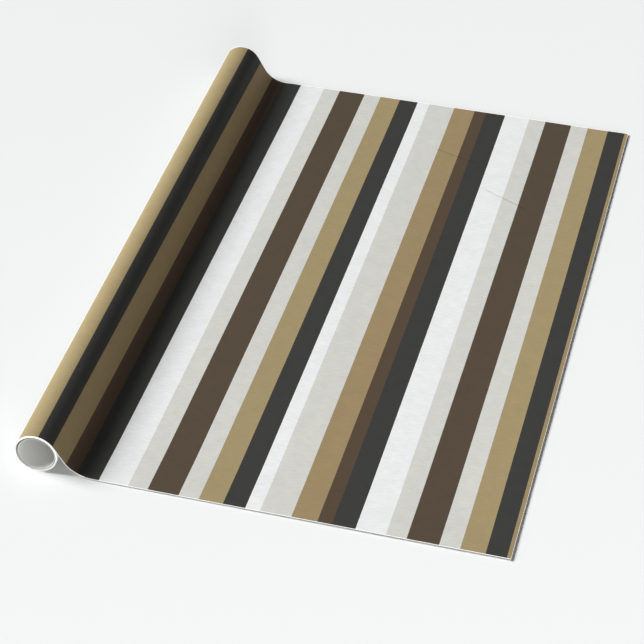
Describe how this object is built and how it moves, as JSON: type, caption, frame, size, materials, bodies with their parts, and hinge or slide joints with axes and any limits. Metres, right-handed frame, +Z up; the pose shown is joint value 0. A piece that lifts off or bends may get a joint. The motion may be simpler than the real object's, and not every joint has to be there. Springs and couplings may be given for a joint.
{
  "type": "wrapping paper roll",
  "caption": "Roll of striped gift wrap on a loose core tube, with its free end drawn off the coil in an S-shaped lead and laid out flat.",
  "frame": {"origin": "the middle of the object's footprint, at the level of the table it lies on", "axes": "+Y along the coil's axis, +X from the coil towards the free end, +Z up; the flat sheet and its stripes are turned 0.85 degrees clockwise about Z, seen from above"},
  "size_m": [0.4907, 0.7424, 0.0426],
  "materials": {
    "core_board": "white-lined paperboard",
    "printed_paper": "matte paper, printed on one side"
  },
  "bodies": {
    "roll": {"paper_coil": "printed_paper", "paper_lead": "printed_paper"},
    "core": {"core_tube": "core_board"},
    "sheet_1": {"sheet_panel_1": "printed_paper"},
    "sheet_2": {"sheet_panel_2": "printed_paper"},
    "sheet_3": {"sheet_panel_3": "printed_paper"},
    "sheet_4": {"sheet_panel_4": "printed_paper"},
    "sheet_5": {"sheet_panel_5": "printed_paper"},
    "sheet_6": {"sheet_panel_6": "printed_paper"}
  },
  "joints": [
    {"name": "core_slide", "type": "slide", "parent": "roll", "child": "core", "axis": [0, -1, 0], "range_m": [-0.75, 0.75]},
    {"name": "sheet_bend_1", "type": "hinge", "parent": "roll", "child": "sheet_1", "pos_m": [-0.15705, 0.00292, 0.00006], "axis": [-0.0148, -0.9999, 0], "range_deg": [0, 15]},
    {"name": "sheet_bend_2", "type": "hinge", "parent": "sheet_1", "child": "sheet_2", "pos_m": [-0.07796, 0.00175, 0.00006], "axis": [-0.0148, -0.9999, 0], "range_deg": [0, 30]},
    {"name": "sheet_bend_3", "type": "hinge", "parent": "sheet_2", "child": "sheet_3", "pos_m": [-0.01266, 0.00078, 0.00006], "axis": [-0.0148, -0.9999, 0], "range_deg": [0, 30]},
    {"name": "sheet_bend_4", "type": "hinge", "parent": "sheet_3", "child": "sheet_4", "pos_m": [0.05693, -0.00025, 0.00006], "axis": [-0.0148, -0.9999, 0], "range_deg": [0, 30]},
    {"name": "sheet_bend_5", "type": "hinge", "parent": "sheet_4", "child": "sheet_5", "pos_m": [0.12252, -0.00122, 0.00006], "axis": [-0.0148, -0.9999, 0], "range_deg": [0, 30]},
    {"name": "sheet_bend_6", "type": "hinge", "parent": "sheet_5", "child": "sheet_6", "pos_m": [0.19242, -0.00226, 0.00006], "axis": [-0.0148, -0.9999, 0], "range_deg": [0, 30]}
  ],
  "couplings": [
    {"joint": "sheet_bend_2", "follows": "sheet_bend_1", "ratio": 2},
    {"joint": "sheet_bend_3", "follows": "sheet_bend_1", "ratio": 2},
    {"joint": "sheet_bend_4", "follows": "sheet_bend_1", "ratio": 2},
    {"joint": "sheet_bend_5", "follows": "sheet_bend_1", "ratio": 2},
    {"joint": "sheet_bend_6", "follows": "sheet_bend_1", "ratio": 2}
  ]
}
